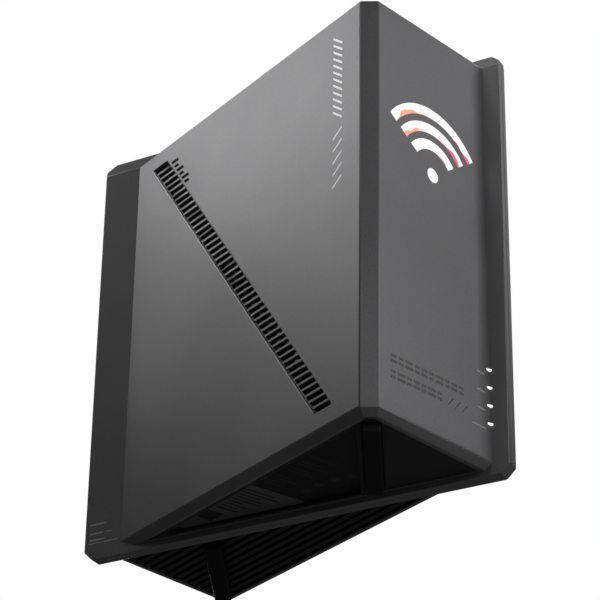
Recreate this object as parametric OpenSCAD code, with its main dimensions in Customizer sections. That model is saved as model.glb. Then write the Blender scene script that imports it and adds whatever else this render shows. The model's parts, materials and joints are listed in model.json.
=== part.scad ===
/* [Fin] */
// Width of the fin, the widest part of the tower
fin_w = 174; // [172:1:180]
// Thickness of the fin, both shell halves together
fin_t = 5.6; // [5.4:0.1:6]
// Height of the top of the fin's flat faces and of both wings
face_top = 169.3; // [168:0.1:172]
// Height of the fin's ridge
ridge_z = 175.1; // [174:0.1:178]
// Gap between the fin's lower edge and the surface it stands on
fin_gap = 1; // [0.8:0.1:1.4]

/* [Wings] */
// Distance of each wing's sharp end from the tower's centre line
tail_x = 71; // [70:0.5:72]
// Distance of each wing's blunt nose from the tower's centre line
nose_x = 59.7; // [59:0.1:60.5]
// Half the depth of the tower, at the nose
nose_y = 62.3; // [61:0.1:64]
// Distance of the wing's short face from the centre line, at the fin
heel_x = 79.5; // [79:0.1:80]
// Thickness of the shell walls
wall = 2.2; // [2:0.1:2.4]
// Height and inset of the bevel round the wing's lower edge
bevel = 2.6; // [2.4:0.1:2.8]
// Height of the underside of the base covers
base_z = 3.3; // [3.2:0.1:3.6]

/* [Vents] */
// Number of louvre slots on the front long face
front_slots = 49; // [30:1:49]
// Number of louvre slots on the rear long face, above the sockets
rear_slots = 42; // [30:1:42]
// Height of one louvre slot
slot_h = 2.15; // [1.4:0.05:2.3]
// Length of one louvre slot
slot_len = 9; // [7:0.5:10]
// Pitch of the ribs under the rear base and of the flutes
rib_pitch = 3.87; // [3.6:0.01:4.2]
// Width of the groove between two ribs
rib_gap = 1.6; // [0.8:0.1:1.8]

/* [Emblem and lights] */
// Outer radius of the fan emblem
emblem_r = 28; // [24:0.5:29]
// Half the spread of the fan emblem, in degrees
emblem_spread = 55; // [45:1:58]
// Height of the middle of the fan's dot
emblem_z = 108.5; // [106:0.5:116]
// Number of status lights
light_count = 4; // [2:1:4]
// Height of the lowest status light
light_z = 20.3; // [20:0.1:24]
// Pitch of the status lights
light_pitch = 7.05; // [6:0.05:7.5]

/* [Sockets and buttons] */
// Place of the power inlet along the rear long face
dc_s = 17; // [16.5:0.1:17.5]
// Place of the power button along the rear long face
power_s = 30.5; // [30:0.1:31]
// Place of the first network socket along the rear long face
net_s = 48; // [47:0.5:49]
// Pitch of the network sockets
net_pitch = 17.4; // [17:0.1:17.6]
// Place of the data socket along the rear long face
usb_s = 116.5; // [116:0.1:116.6]
// Place of the pairing button along the rear long face
wps_s = 134.6; // [134.2:0.1:135]
// Travel of the power button
power_travel = 1.8; // [1:0.1:2]
// Travel of the pairing and reset buttons
tap_travel = 0.6; // [0.3:0.1:0.6]

/* [Hidden] */
$fn = 48;
eps = 0.01;
seat_gap = 0.15;
half_t = fin_t / 2;
corner_cut = 3.5;
ridge_half = 0.5;
rail_top = 6.5;
rib_depth = 1.2;
cavity_top = 164;
nose_cut = [6.1, 3.1];
heel_cut = [0.9, 2.6];
tail_pt = [-tail_x, -half_t];
nose_pt = [nose_x, -nose_y];
cheek_pt = nose_pt + nose_cut;
heel_pt = [heel_x, -half_t - heel_cut[1]];
root_pt = [heel_x + heel_cut[0], -half_t];
wing = [tail_pt, nose_pt, cheek_pt, heel_pt, root_pt];
long_run = nose_pt - tail_pt;
short_run = heel_pt - cheek_pt;
long_ang = atan2(long_run[1], long_run[0]);
short_ang = atan2(short_run[1], short_run[0]);
long_len = norm(long_run);
short_len = norm(short_run);
slot_step = [2.227, -3.062];
slot_first = [16, 161];
slot_lean = -slot_step[0] / slot_step[1];
band_margin = 0.5;
band_depth = 0.5;
trim_w = 0.55;
band_x0 = -slot_len / 2 - band_margin - trim_w;
band_x1 = slot_len / 2 + band_margin;
hatch_x = 130.5;
hatch_w = 5.4;
hatch_z = 160.6;
hatch_pitch = 2.9;
hatch_fall = -4.4;
hatch_thick = 1.4;
hatch_count = 12;
loose_z = 117;
loose_pitch = 5;
loose_rise = 3.4;
loose_thick = 1.1;
loose_count = 5;
mark_depth = 0.35;
badge_dx = slot_len / 2 + 1.7;
badge_long = 4.6;
badge_short = 3;
badge_high = 1.5;
badge_pitch = 0.86;
cheek_s = 35.2;
cheek_z = 19.3;
cheek_pitch = 3.8;
cheek_depth = 0.3;
dot_r = 3;
bow_r = 10.2;
bow_w = 4.2;
light_ang = 54.8;
light_pt = [80.3, -half_t - 0.93];
light_len = 2.6;
light_h = 0.6;
panel_z = base_z + 1.5;
cover_t = 2;
top_lip = 1.2;
label_s = [27.4, 73.2];
label_t = 0.15;
foot_a = [59.9, -54.1];
foot_b = [37.7, -7.8];
foot_w = 6.2;
foot_seat = 0.6;
foot_play = 0.3;
foot_ang = atan2(foot_b[1] - foot_a[1], foot_b[0] - foot_a[0]);
foot_len = norm(foot_b - foot_a);
foot_dir = (foot_b - foot_a) / foot_len;
nose_screw = foot_a + 11.5 * foot_dir;
rail_screw = foot_a + 46.5 * foot_dir;
boss_top = rail_top + 1.3;
boss_r = 3;
base_shank = 2.4;
screw_r = 1.25;
screw_head_r = 2.3;
screw_slot = [2.6, 0.5];
board_t = 1.6;
board_x = 62;
board_z = [26, 150];
pad_t = 0.8;
can_h = 2;
chip_h = 1.1;
sink_z = [40, 140];
sink_x = [-24, 46];
sink_back = board_t / 2 + can_h + pad_t;
sink_base = 3;
sink_fin_t = 1.4;
fin_pitch = 5;
sink_screws = [[-19.5, 46], [-19.5, 134], [19.5, 46], [19.5, 134]];
io_z = 8;
io_top = io_z + board_t;
io_s = [12.5, 139];
io_depth = [2.8, 24];
io_screw_at = [[37.4, 7.4], [109.2, 20.6]];
io_shank = 3.4;
frame_screws = [[-58.5, 30], [58.5, 30], [-58.5, 146], [58.5, 146]];
port_w = 15.8;
port_h = 13.2;
port_d = 17;
port_cave = [11.8, 13.4, 8];
usb_size = [13.2, 14, 6.4];
usb_lift = 3;
dc_size = [9, 13.5, 11];
dc_hole_r = 3.2;
button_z = 16;
power_r = 3.8;
tap_r = 2.6;
reset_r = 0.9;
reset_z = 12.2;
reset_s = 127;
lead_r = 0.6;
socket_w = 2.4;
side_socket_z = 100;
top_socket_z = 136;

// Outline geometry: an outline runs anticlockwise, and each edge moves inward by its own distance.
function edge_dir(a, b) = (b - a) / norm(b - a);
function edge_in(a, b) = let (d = edge_dir(a, b)) [-d[1], d[0]];
function cross2(a, b) = a[0] * b[1] - a[1] * b[0];
function meet(p, u, q, v) = p + u * cross2(q - p, v) / cross2(u, v);
function before(p, i) = p[(i + len(p) - 1) % len(p)];
function after(p, i) = p[(i + 1) % len(p)];
function inset(p, d) = [
    for (i = [0 : len(p) - 1])
        meet(p[i] + edge_in(before(p, i), p[i]) * before(d, i), edge_dir(before(p, i), p[i]),
             p[i] + edge_in(p[i], after(p, i)) * d[i], edge_dir(p[i], after(p, i)))
];
// The wing's outline, drawn in by d on its outer faces and by root_d on the side next to the fin
function wing_in(d, root_d) = inset(wing, [d, d, d, d, root_d]);
// Depth of the front long face, measured from the middle of the fin, at a distance x to the right
function wing_depth(x) = half_t + (x + tail_x) * tan(-long_ang);

// The rear half is the front half turned half way round.
module rear() {
    rotate([0, 0, 180]) children();
}

// A slab of an outline between two heights
module slab(outline, z0, z1) {
    translate([0, 0, z0]) linear_extrude(z1 - z0) polygon(outline);
}

// Face frames: x runs along the face from its first corner, y runs inward and z up.
module on_long_face() {
    translate([tail_pt[0], tail_pt[1], 0]) rotate([0, 0, long_ang]) children();
}

module on_short_face() {
    translate([cheek_pt[0], cheek_pt[1], 0]) rotate([0, 0, short_ang]) children();
}

module on_rear_face() {
    rear() on_long_face() children();
}

// A flat shape drawn on a face, sunk from depth y0 to depth y1
module sunk(y0, y1) {
    translate([0, y1, 0]) rotate([90, 0, 0]) linear_extrude(y1 - y0) children();
}

// A cylinder through a face, centred at x and z, from depth y0 to depth y1
module peg(x, z, r, y0, y1) {
    translate([x, y1, z]) rotate([90, 0, 0]) cylinder(h = y1 - y0, r = r);
}

// One leaning slot, with its ends parallel to the row
module leaning_slot(len, high) {
    lean = slot_lean * high / 2;
    polygon([[-len / 2 + lean, -high / 2], [len / 2 + lean, -high / 2],
             [len / 2 - lean, high / 2], [-len / 2 - lean, high / 2]]);
}

module slot_row(count) {
    for (i = [0 : count - 1])
        translate(slot_first + slot_step * i) leaning_slot(slot_len, slot_h);
}

// The sunk band that the louvres stand in, from x0 to x1 beside the slots' middles
module slot_band(count, x0, x1) {
    top = slot_first - slot_step * 0.5;
    low = slot_first + slot_step * (count - 0.5);
    polygon([low + [x0, 0], low + [x1, 0], top + [x1, 0], top + [x0, 0]]);
}

// A short leaning stroke
module stroke(x, z, wide, rise, thick) {
    translate([x, z]) polygon([[0, 0], [wide, rise], [wide, rise + thick], [0, thick]]);
}

// Decorative strokes beside the nose: a hatched ladder and a looser one below it
module face_strokes() {
    left = hatch_x - hatch_w / 2;
    for (i = [0 : hatch_count - 1])
        stroke(left, hatch_z - hatch_pitch * i, hatch_w, hatch_fall, hatch_thick);
    for (i = [0 : loose_count - 1])
        stroke(left, loose_z - loose_pitch * i, hatch_w, loose_rise, loose_thick);
}

// Three leaning cuts low on the short face
module cheek_strokes() {
    for (i = [0 : 2]) stroke(cheek_s + cheek_pitch * i, cheek_z, 2.6, 3.1, 0.5);
}

// The fan emblem: three bows and a dot, drawn smaller all round by trim
module fan(trim) {
    translate([short_len * 0.52, emblem_z]) {
        circle(r = dot_r - trim);
        for (k = [0 : 2]) bow(bow_r + k * (emblem_r - bow_w - bow_r) / 2, bow_w, trim);
    }
}

module bow(r, wide, trim) {
    reach = r + wide + 4;
    lip = trim / sin(emblem_spread);
    intersection() {
        difference() {
            circle(r = r + wide - trim, $fn = 96);
            circle(r = r + trim, $fn = 96);
        }
        polygon([[0, lip], [reach * sin(emblem_spread), lip + reach * cos(emblem_spread)],
                 [0, reach * 2], [-reach * sin(emblem_spread), lip + reach * cos(emblem_spread)]]);
    }
}

// One half of the fin: a plate with a bevelled top and four cut corners
module fin_half() {
    side_cut = fin_w / 2 - corner_cut;
    intersection() {
        translate([-fin_w / 2, 0, 0]) rotate([90, 0, 90]) linear_extrude(fin_w)
            polygon([[-half_t, fin_gap], [0, fin_gap], [0, ridge_z], [-ridge_half, ridge_z],
                     [-half_t, face_top]]);
        translate([0, eps, 0]) rotate([90, 0, 0]) linear_extrude(half_t + 2 * eps)
            polygon([[-side_cut, fin_gap], [side_cut, fin_gap], [fin_w / 2, fin_gap + corner_cut],
                     [fin_w / 2, ridge_z - corner_cut], [side_cut, ridge_z], [-side_cut, ridge_z],
                     [-fin_w / 2, ridge_z - corner_cut], [-fin_w / 2, fin_gap + corner_cut]]);
    }
}

// The wing's outer body, bevelled round its lower edge
module wing_body() {
    hull() {
        slab(wing_in(bevel, 0), base_z, base_z + eps);
        slab(wing, base_z + bevel, face_top);
    }
}

// Everything that the two shells have in common
module shell_half() {
    difference() {
        union() {
            fin_half();
            wing_body();
        }
        slab(wing_in(wall, -half_t - 1), rail_top, cavity_top);
        slab(wing_in(wall, 0.8), cavity_top - 1, face_top - cover_t - 1);
        slab(wing_in(wall - 0.8, 0.8), face_top - cover_t - top_lip, face_top + 1);
        slab(wing_in(bevel + 1.6, 0.8), base_z - 1, rail_top + 1);
        translate([-fin_w / 2 + 2.5, -1.4, 50]) cube([11, 3, 110]);
    }
    difference() {
        boss_blocks();
        for (p = [nose_screw, rail_screw])
            translate([p[0], p[1], 0]) cylinder(h = boss_top - 0.3, r = screw_r + 0.05);
    }
}

// Screw blocks for the base cover: one in the nose and one on the fin's lower rail
module boss_blocks() {
    low = base_z + cover_t + 0.05;
    for (p = [nose_screw, rail_screw])
        translate([p[0], p[1], low]) cylinder(h = boss_top - low, r = boss_r);
    intersection() {
        slab(wing_in(wall - eps, 0), rail_top, boss_top);
        translate([nose_screw[0], nose_screw[1], rail_top]) rotate([0, 0, foot_ang])
            translate([-20, -boss_r, 0]) cube([20, 2 * boss_r, boss_top - rail_top]);
    }
    translate([rail_screw[0] - boss_r, rail_screw[1], rail_top])
        cube([2 * boss_r, -rail_screw[1] - 0.5, boss_top - rail_top]);
}

module front_shell() {
    color("#59595c") difference() {
        shell_half();
        on_long_face() {
            sunk(-1, band_depth) slot_band(front_slots, band_x0, band_x1);
            sunk(0, wall + 1) slot_row(front_slots);
            sunk(-1, mark_depth) face_strokes();
            sunk(-1, mark_depth) badge_marks(0);
        }
        on_short_face() {
            sunk(-1, wall + 1) fan(0);
            sunk(-1, cheek_depth) cheek_strokes();
        }
        light_slits(seat_gap);
    }
}

// Six black bars, long and short in turn, beside the top of the vent row
module badge_marks(trim) {
    for (i = [0 : 5]) {
        len = i % 2 == 0 ? badge_long : badge_short;
        translate(slot_first + [badge_dx + len / 2, 0] + slot_step * (0.5 + i * badge_pitch))
            leaning_slot(len - 2 * trim, badge_high - 2 * trim);
    }
}

module side_badge() {
    color("#0b0b0c") on_long_face() sunk(0, mark_depth) badge_marks(0.05);
}

module light_bars(grow, inner) {
    for (i = [0 : light_count - 1])
        translate([light_pt[0], light_pt[1], light_z + light_pitch * i]) rotate([0, 0, light_ang])
            translate([-light_len / 2 - grow, -0.2, -light_h / 2 - grow])
                cube([light_len + 2 * grow, inner, light_h + 2 * grow]);
}

module light_slits(grow) {
    light_bars(grow, 6);
}

// The rear wing's vertical flutes, which carry the base ribs up the short face
module flutes() {
    step = rib_pitch / sin(short_ang - long_ang);
    for (i = [0 : floor((short_len - 4) / step)])
        translate([3 + i * step - rib_gap / 2, -1, -1]) cube([rib_gap, 2, face_top + 2]);
}

module rear_shell() {
    color("#59595c") difference() {
        union() {
            rear() shell_half();
            on_rear_face() io_posts();
        }
        rear() {
            on_short_face() flutes();
        }
        on_rear_face() {
            sunk(-1, band_depth) slot_band(rear_slots, band_x0, band_x1);
            sunk(0, wall + 1) slot_row(rear_slots);
            port_cutouts();
        }
    }
}

// Blocks on the rear wall that carry the socket board
module io_posts() {
    low = base_z + cover_t + 0.1;
    difference() {
        for (p = io_screw_at) translate([p[0] - boss_r, wall - eps, low])
            cube([2 * boss_r, p[1] + 0.6, io_z - low]);
        for (p = io_screw_at) translate([p[0], p[1], 0]) cylinder(h = io_z + 1, r = screw_r + 0.05);
    }
}

module port_cutouts() {
    fit = 0.3;
    for (k = [0 : 3]) translate([net_s + k * net_pitch - port_w / 2 - fit, -1, io_top - fit])
        cube([port_w + 2 * fit, wall + 2, port_h + 2 * fit]);
    translate([usb_s - usb_size[0] / 2 - fit, -1, io_top + usb_lift - fit])
        cube([usb_size[0] + 2 * fit, wall + 2, usb_size[2] + 2 * fit]);
    translate([dc_s - dc_size[0] / 2 - fit, -1, io_top - fit])
        cube([dc_size[0] + 2 * fit, wall + 2, dc_size[2] + 2 * fit]);
    peg(power_s, button_z, power_r + fit, -1, wall + 1);
    peg(wps_s, button_z, tap_r + fit, -1, wall + 1);
    peg(reset_s, reset_z, reset_r + fit, -1, wall + 1);
}

module vent_trim(count) {
    on_long_face() sunk(-0.1, band_depth) slot_band(count, band_x0, band_x0 + trim_w);
}

module front_vent_trim() {
    color("#c9ccd0") vent_trim(front_slots);
}

module rear_vent_trim() {
    color("#c9ccd0") rear() vent_trim(rear_slots);
}

// A slotted cover that drops into the top of a wing
module top_grille() {
    outline = wing_in(wall - 0.8 + seat_gap, 0.8 + seat_gap);
    difference() {
        slab(outline, face_top - cover_t - top_lip, face_top - top_lip);
        intersection() {
            slab(wing_in(wall + 5, 7), face_top - cover_t - 2, face_top);
            on_long_face() for (i = [1 : 14])
                translate([0, i * rib_pitch + 3, 0]) cube([long_len, 1.8, face_top + 1]);
        }
    }
}

module front_top_grille() {
    color("#161617") top_grille();
}

module rear_top_grille() {
    color("#161617") rear() top_grille();
}

// A strip across the base where the foot lies, larger than the foot all round by side
module foot_strip(side, z0, z1) {
    translate([foot_a[0], foot_a[1], z0]) rotate([0, 0, foot_ang])
        translate([-side, -foot_w / 2 - side, 0]) cube([foot_len + 2 * side, foot_w + 2 * side, z1 - z0]);
}

// Everything low down on the label's side of the foot, from gap away
module beyond_foot(gap) {
    translate([foot_a[0], foot_a[1], 0]) rotate([0, 0, foot_ang])
        translate([-30, foot_w / 2 + gap, 0]) cube([120, 150, 10]);
}

module cover_screw_holes() {
    for (p = [nose_screw, rail_screw]) translate([p[0], p[1], 0]) {
        cylinder(h = base_z + cover_t + 4, r = screw_r + 0.2);
        cylinder(h = base_z + foot_seat + 0.8, r = screw_head_r + 0.2);
    }
}

// The front base cover: flush beside the foot, and sunk to its left where the label lies
module front_base_cover() {
    outline = wing_in(bevel + 1.6 + seat_gap, 0.8 + seat_gap);
    color("#101011") difference() {
        slab(outline, base_z, base_z + cover_t);
        intersection() {
            slab(wing_in(bevel + 3, 2.2), 0, panel_z);
            beyond_foot(2);
        }
        foot_strip(foot_play, base_z - 1, base_z + foot_seat);
        cover_screw_holes();
    }
    color("#101011") intersection() {
        slab(wing_in(bevel + 1.6 + seat_gap, 0.8 + seat_gap), base_z + cover_t - eps, panel_z + 1.4);
        beyond_foot(1);
    }
}

// The rear base cover: ribs run along the long face, and the foot lies across them
module rear_base_cover() {
    color("#141415") rear() difference() {
        slab(wing_in(bevel + 1.6 + seat_gap, 0.8 + seat_gap), base_z, base_z + cover_t);
        on_long_face() for (i = [1 : 16])
            translate([-20, 2 * bevel + (i - 1) * rib_pitch, 0])
                cube([long_len + 60, rib_gap, base_z + rib_depth]);
        foot_strip(foot_play, base_z - 1, base_z + foot_seat);
        cover_screw_holes();
    }
}

module foot() {
    foot_strip(0, 0, base_z + foot_seat);
}

module front_foot() {
    color("#0d0d0e") foot();
}

module rear_foot() {
    color("#1b1b1d") rear() foot();
}

// The rating label: it crosses the whole sunk panel, and its ends are square to the long face
module rating_label() {
    color("#2b2b2d") intersection() {
        slab(wing_in(bevel + 3.2, 2.4), panel_z - label_t, panel_z);
        on_long_face() translate([label_s[0], 0, 0]) cube([label_s[1] - label_s[0], 60, 10]);
    }
}

module base_screw_pair() {
    seat = base_z + foot_seat + 0.8;
    for (p = [nose_screw, rail_screw])
        translate([p[0], p[1], 0]) screw_up(seat, base_shank);
}

// A pan-head screw that points up, with its seat at z
module screw_up(z, shank) {
    difference() {
        translate([0, 0, z - 0.75]) cylinder(h = 0.75, r = screw_head_r);
        translate([0, 0, z - 1]) linear_extrude(0.6) square(screw_slot, center = true);
        translate([0, 0, z - 1]) linear_extrude(0.6) square([screw_slot[1], screw_slot[0]], center = true);
    }
    translate([0, 0, z - eps]) cylinder(h = shank, r = screw_r);
}

module base_screws() {
    color("#8d8f92") {
        base_screw_pair();
        rear() base_screw_pair();
    }
}

module emblem_lens() {
    color("#f4f4f6") on_short_face() sunk(0, wall) fan(0.1);
}

module emblem_diffuser() {
    color("#e8e8ea") on_short_face() difference() {
        translate([2.6, wall + 0.1, emblem_z - 7]) cube([short_len - 5.5, 1, 40]);
        peg(short_len * 0.52 - 20, emblem_z - 2, 1.2, wall, wall + 2);
        peg(short_len * 0.52 + 20, emblem_z - 2, 1.2, wall, wall + 2);
    }
}

module emblem_led_board() {
    color("#1d4030") on_short_face() {
        difference() {
            translate([8, wall + 5, emblem_z - 5]) cube([38, 1, 36]);
            peg(12, emblem_z - 1, 1.1, wall, wall + 8);
            peg(42, emblem_z - 1, 1.1, wall, wall + 8);
        }
        for (i = [0 : 2], k = [0 : 2])
            translate([15 + 10 * i, wall + 4.2, emblem_z + 2 + 10 * k]) cube([3.2, 0.85, 3.2]);
    }
}

module status_light_pipes() {
    color("#ffffff") light_bars(0, 4.2);
}

module status_led_board() {
    reach = 4.9;
    color("#1d4030") translate([light_pt[0], light_pt[1], 0]) rotate([0, 0, light_ang]) {
        translate([-3.4, reach, light_z - 4]) cube([3.6, 1, light_pitch * (light_count - 1) + 8]);
        for (i = [0 : light_count - 1])
            translate([-1.2, reach - 0.7, light_z + light_pitch * i - 0.5]) cube([1.3, 0.75, 1]);
    }
}

module main_board() {
    color("#16382a") difference() {
        translate([-board_x, -board_t / 2, board_z[0]]) cube([2 * board_x, board_t, board_z[1] - board_z[0]]);
        for (p = frame_screws) peg(p[0], p[1], screw_r + 0.2, -5, 5);
        for (p = sink_screws) peg(p[0], p[1], screw_r + 0.35, -5, 5);
    }
}

// The tray that stands on the fin's lower rails and carries the main board
module board_frame() {
    front = board_t / 2;
    color("#18181a") difference() {
        union() {
            translate([-64, front, 22]) cube([128, 2.2, 132]);
            for (x = [-64, 60]) translate([x, front, rail_top]) cube([4, 2.2, 16]);
        }
        translate([-54, front - 1, 34]) cube([108, 5, 108]);
        for (p = frame_screws) peg(p[0], p[1], screw_r + 0.05, -5, 5);
    }
}

// A pan-head screw along +Y, with its seat at depth y
module screw_in(x, z, y, shank) {
    difference() {
        peg(x, z, screw_head_r, y - 1.2, y);
        translate([x, y - 1.3, z]) rotate([90, 0, 0]) translate([0, 0, -0.6]) linear_extrude(0.6)
            square(screw_slot, center = true);
    }
    peg(x, z, screw_r, y - eps, y + shank);
}

module board_screws() {
    color("#8d8f92") for (p = frame_screws) screw_in(p[0], p[1], -board_t / 2, 3.6);
}

module processor() {
    color("#26282b") translate([0, -board_t / 2 - can_h, 79]) {
        translate([0, 0.8, 0]) cube([22, can_h - 0.8, 22]);
        translate([4, 0, 4]) cube([14, 0.8 + eps, 14]);
    }
}

module memory_chips() {
    color("#1a1b1d") {
        for (z = [74, 92]) translate([27, -board_t / 2 - chip_h, z]) cube([12, chip_h, 14]);
        translate([-18, -board_t / 2 - chip_h, 84]) cube([12, chip_h, 12]);
    }
}

module radio_chips() {
    color("#26282b") {
        translate([-6, -board_t / 2 - chip_h, 55]) cube([11, chip_h, 11]);
        for (z = [59, 109]) translate([-31, board_t / 2, z]) cube([12, chip_h, 12]);
    }
}

// A folded sheet cover, open towards the board
module can(wide, high) {
    skin = 0.3;
    difference() {
        cube([wide, can_h, high]);
        translate([skin, -1, skin]) cube([wide - 2 * skin, can_h + 1 - skin, high - 2 * skin]);
    }
}

module shield_cans() {
    color("#b9bcc0") {
        translate([-14, -board_t / 2, 50]) mirror([0, 1, 0]) can(30, 22);
        for (z = [50, 100]) translate([-40, board_t / 2, z]) can(30, 30);
    }
}

module thermal_pads() {
    color("#8fa3b5") {
        translate([4, -board_t / 2 - can_h - pad_t, 83]) cube([14, pad_t, 14]);
        translate([-12, -board_t / 2 - can_h - pad_t, 52]) cube([26, pad_t, 18]);
        for (z = [52, 102]) translate([-38, board_t / 2 + can_h, z]) cube([26, pad_t, 26]);
    }
}

// A finned aluminium block whose fins follow the slant of the long face
module heat_sink(hole_r) {
    difference() {
        union() {
            translate([sink_x[0], -sink_back - sink_base, sink_z[0]])
                cube([sink_x[1] - sink_x[0], sink_base, sink_z[1] - sink_z[0]]);
            for (i = [0 : 13]) sink_fin(sink_x[0] + 2 + i * fin_pitch);
        }
        for (p = sink_screws) {
            peg(p[0], p[1], hole_r, -20, 0);
            peg(p[0], p[1], screw_head_r + 0.6, -80, -sink_back - sink_base);
        }
    }
}

module sink_fin(x) {
    tip = wing_depth(x) - wall - 4;
    translate([x - sink_fin_t / 2, -tip, sink_z[0]])
        cube([sink_fin_t, tip - sink_back - sink_base + eps, sink_z[1] - sink_z[0]]);
}

module front_heat_sink() {
    color("#9a9da1") heat_sink(screw_r + 0.2);
}

module rear_heat_sink() {
    color("#9a9da1") rear() heat_sink(screw_r + 0.05);
}

module heat_sink_screws() {
    seat = -sink_back - sink_base;
    color("#8d8f92") for (p = sink_screws) screw_in(p[0], p[1], seat, 2 * sink_back + sink_base + 2.4);
}

module io_board() {
    color("#16382a") on_rear_face() difference() {
        translate([io_s[0], io_depth[0], io_z]) cube([io_s[1] - io_s[0], io_depth[1] - io_depth[0], board_t]);
        for (p = io_screw_at) translate([p[0], p[1], 0]) cylinder(h = io_top + 1, r = screw_r + 0.2);
    }
}

module io_board_screws() {
    color("#8d8f92") on_rear_face() for (p = io_screw_at) translate([p[0], p[1], io_top]) {
        difference() {
            cylinder(h = 1.3, r = screw_head_r);
            translate([0, 0, 0.8]) linear_extrude(1) square(screw_slot, center = true);
        }
        translate([0, 0, -io_shank]) cylinder(h = io_shank + eps, r = screw_r);
    }
}

// The header that joins the socket board to the main board
module board_link() {
    color("#e6e2d6") translate([34, -board_t / 2 - 3.4, io_top]) cube([12, 3.4, 22]);
}

module dc_jack() {
    color("#121213") on_rear_face() difference() {
        translate([dc_s - dc_size[0] / 2, 0, io_top]) cube(dc_size);
        peg(dc_s, io_top + 5.5, dc_hole_r, -1, 10);
    }
}

module dc_pin() {
    color("#d8d2c0") on_rear_face() peg(dc_s, io_top + 5.5, 1.15, 1.6, 10);
}

// Metal-shelled network socket with a stepped mouth for the plug's latch
module net_port(k) {
    s = net_s + k * net_pitch;
    color("#9da0a4") on_rear_face() difference() {
        translate([s - port_w / 2, 0, io_top]) cube([port_w, port_d, port_h]);
        translate([s - port_cave[0] / 2, -1, io_top + 3.6])
            cube([port_cave[0], port_cave[1] + 1, port_cave[2]]);
        translate([s - 3, -1, io_top + 1.6]) cube([6, port_cave[1] + 1, 3]);
    }
}

module wan_port() {
    net_port(0);
}

module lan_port_1() {
    net_port(1);
}

module lan_port_2() {
    net_port(2);
}

module lan_port_3() {
    net_port(3);
}

// Eight sprung contacts in the roof of each network socket
module port_contacts() {
    color("#d9b45a") on_rear_face() for (k = [0 : 3], i = [0 : 7])
        translate([net_s + k * net_pitch - 3.75 + i * 1.02, 4.6, io_top + 10.2]) cube([0.4, 8.79, 1.39]);
}

module usb_port() {
    skin = 0.5;
    color("#b4b7bb") on_rear_face() translate([usb_s - usb_size[0] / 2, 0, io_top + usb_lift]) difference() {
        cube(usb_size);
        translate([skin, -1, skin])
            cube([usb_size[0] - 2 * skin, usb_size[1] - 0.5, usb_size[2] - 2 * skin]);
    }
    color("#b4b7bb") on_rear_face() translate([usb_s - usb_size[0] / 2 + 1, 4, io_top])
        cube([usb_size[0] - 2, usb_size[1] - 6, usb_lift + eps]);
}

module usb_tongue() {
    color("#20262e") on_rear_face() translate([usb_s - 5, 1.6, io_top + usb_lift + 3.6])
        cube([10, usb_size[1] - 3.1, 1.7]);
}

module power_switch() {
    color("#1b1b1d") on_rear_face() {
        translate([power_s - 4, 9, io_top]) cube([8, 5, 10]);
        peg(power_s, button_z, 1.6, 8.2, 9 + eps);
    }
}

module power_button() {
    color("#2a2a2c") on_rear_face() {
        peg(power_s, button_z, power_r, -1.6, wall + 0.3);
        peg(power_s, button_z, power_r + 0.9, wall + 0.3, wall + 1.2);
        peg(power_s, button_z, 1.6, wall + 1.1, 8.1 - power_travel);
    }
}

module tap_switch(s, z, y) {
    translate([s - 3, y, io_top]) cube([6, 3.5, z - io_top + 2.6]);
    peg(s, z, 1.2, y - 0.6, y + eps);
}

module wps_switch() {
    color("#b9bcc0") on_rear_face() tap_switch(wps_s, button_z, 8);
}

module wps_button() {
    color("#2a2a2c") on_rear_face() {
        peg(wps_s, button_z, tap_r, -0.9, wall + 0.3);
        peg(wps_s, button_z, tap_r + 0.8, wall + 0.3, wall + 1.1);
        peg(wps_s, button_z, 1.2, wall + 1, 7.3 - tap_travel);
    }
}

module reset_switch() {
    color("#b9bcc0") on_rear_face() tap_switch(reset_s, reset_z, 7.2);
}

module reset_button() {
    color("#b3302e") on_rear_face() {
        peg(reset_s, reset_z, reset_r, 0.8, wall + 0.3);
        peg(reset_s, reset_z, 1.7, wall + 0.3, 6.5 - tap_travel);
    }
}

module edge_antenna() {
    translate([-84, -1.2, 52]) cube([9.5, 1, 106]);
}

module left_antenna() {
    color("#6f5a2b") edge_antenna();
}

module right_antenna() {
    color("#6f5a2b") rear() edge_antenna();
}

module wall_antenna() {
    on_long_face() translate([50, wall, 148]) cube([45, 0.8, 12]);
}

module front_top_antenna() {
    color("#6f5a2b") wall_antenna();
}

module rear_top_antenna() {
    color("#6f5a2b") rear() wall_antenna();
}

// A thin insulated lead: an eight-sided tube swept along a path of points
module lead(path) {
    sides = 8;
    last = len(path) - 1;
    ways = [for (i = [0 : last]) edge_dir(path[max(i - 1, 0)], path[min(i + 1, last)])];
    rings = [
        for (i = [0 : last])
            let (side = edge_dir([0, 0, 0], cross(ways[i], [0, 0, 1])), rise = cross(side, ways[i]))
                for (k = [0 : sides - 1])
                    path[i] + lead_r * (side * cos(360 * k / sides) + rise * sin(360 * k / sides))
    ];
    walls = [
        for (i = [0 : last - 1], k = [0 : sides - 1])
            let (j = (k + 1) % sides, a = i * sides, b = a + sides)
                each [[a + k, a + j, b + j], [a + k, b + j, b + k]]
    ];
    start = [for (k = [0 : sides - 1]) sides - 1 - k];
    end = [for (k = [0 : sides - 1]) last * sides + k];
    polyhedron(points = rings, faces = concat(walls, [start], [end]));
}

module antenna_socket(x, side, z) {
    base = side > 0 ? board_t / 2 : -board_t / 2 - socket_w / 2;
    translate([x - socket_w / 2, base, z - socket_w / 2]) cube([socket_w, socket_w / 2, socket_w]);
}

module antenna_sockets() {
    color("#c8a24a") {
        for (x = [-56.2, 56.2]) antenna_socket(x, -1, side_socket_z);
        antenna_socket(53.2, -1, top_socket_z);
        antenna_socket(-50.2, 1, top_socket_z);
    }
}

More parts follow.
